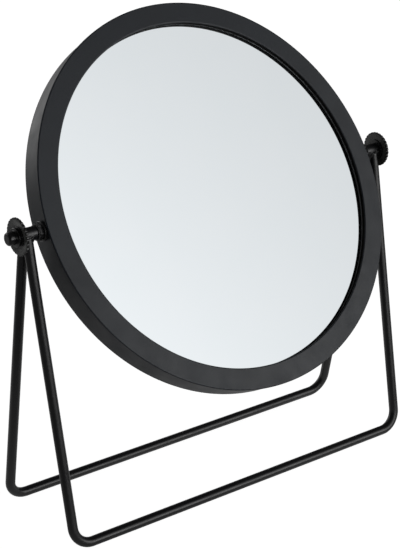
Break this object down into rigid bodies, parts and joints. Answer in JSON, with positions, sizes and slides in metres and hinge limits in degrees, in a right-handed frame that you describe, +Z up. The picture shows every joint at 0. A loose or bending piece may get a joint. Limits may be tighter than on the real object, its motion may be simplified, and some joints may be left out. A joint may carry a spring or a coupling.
{
  "type": "standing makeup mirror",
  "caption": "Round tilting mirror in a deep black ring, hung between two U-shaped wire legs on threaded studs with knurled thumb nuts.",
  "frame": {"origin": "on the table, under the middle of the tilt axis", "axes": "+X along the tilt axis to the right of the person looking in, +Y to the back, +Z up"},
  "size_m": [0.2372, 0.1178, 0.2402],
  "materials": {
    "stand_paint": "satin black powder coat on 5 mm steel wire",
    "frame_paint": "matte black powder coat",
    "cover_paint": "matte black powder coat",
    "hardware_black": "semi-gloss black",
    "silvered_glass": "polished silvered float glass",
    "gasket_rubber": "matte",
    "hardboard": "smooth hardboard",
    "foam": "closed-cell foam sheet",
    "bare_steel": "zinc plated",
    "screw_steel": "black zinc",
    "nylon": "natural black nylon"
  },
  "bodies": {
    "stand": {"front_leg_wire": "stand_paint", "rear_leg_wire": "stand_paint", "left_pivot_sleeve": "stand_paint", "right_pivot_sleeve": "stand_paint"},
    "mirror_head": {"mirror_frame": "frame_paint", "glass_gasket": "gasket_rubber", "mirror_glass": "silvered_glass", "backing_board": "hardboard", "foam_pad": "foam", "back_cover": "cover_paint", "cover_lugs": "bare_steel", "cover_screws": "screw_steel", "left_pivot_stud": "bare_steel", "left_band_washer": "hardware_black", "left_lock_nut": "hardware_black", "left_friction_washer": "nylon", "right_pivot_stud": "bare_steel", "right_band_washer": "hardware_black", "right_lock_nut": "hardware_black", "right_friction_washer": "nylon"},
    "left_clamp_washer": {"left_nut_washer": "hardware_black"},
    "left_clamp_nut": {"left_thumb_nut": "hardware_black"},
    "right_clamp_washer": {"right_nut_washer": "hardware_black"},
    "right_clamp_nut": {"right_thumb_nut": "hardware_black"}
  },
  "joints": [
    {"name": "mirror_tilt", "type": "hinge", "parent": "stand", "child": "mirror_head", "pos_m": [0, 0, 0.1548], "axis": [1, 0, 0], "continuous": true},
    {"name": "left_nut_travel", "type": "slide", "parent": "mirror_head", "child": "left_clamp_washer", "axis": [-1, 0, 0], "range_m": [0, 0.0014]},
    {"name": "left_nut_turn", "type": "hinge", "parent": "left_clamp_washer", "child": "left_clamp_nut", "pos_m": [-0.1119, 0, 0.1548], "axis": [-1, 0, 0], "range_deg": [0, 720]},
    {"name": "right_nut_travel", "type": "slide", "parent": "mirror_head", "child": "right_clamp_washer", "axis": [1, 0, 0], "range_m": [0, 0.0014]},
    {"name": "right_nut_turn", "type": "hinge", "parent": "right_clamp_washer", "child": "right_clamp_nut", "pos_m": [0.1119, 0, 0.1548], "axis": [1, 0, 0], "range_deg": [0, 720]}
  ],
  "couplings": [
    {"joint": "left_nut_travel", "follows": "left_nut_turn", "m_per_rad": 0.0001114},
    {"joint": "right_nut_travel", "follows": "right_nut_turn", "m_per_rad": 0.0001114}
  ]
}
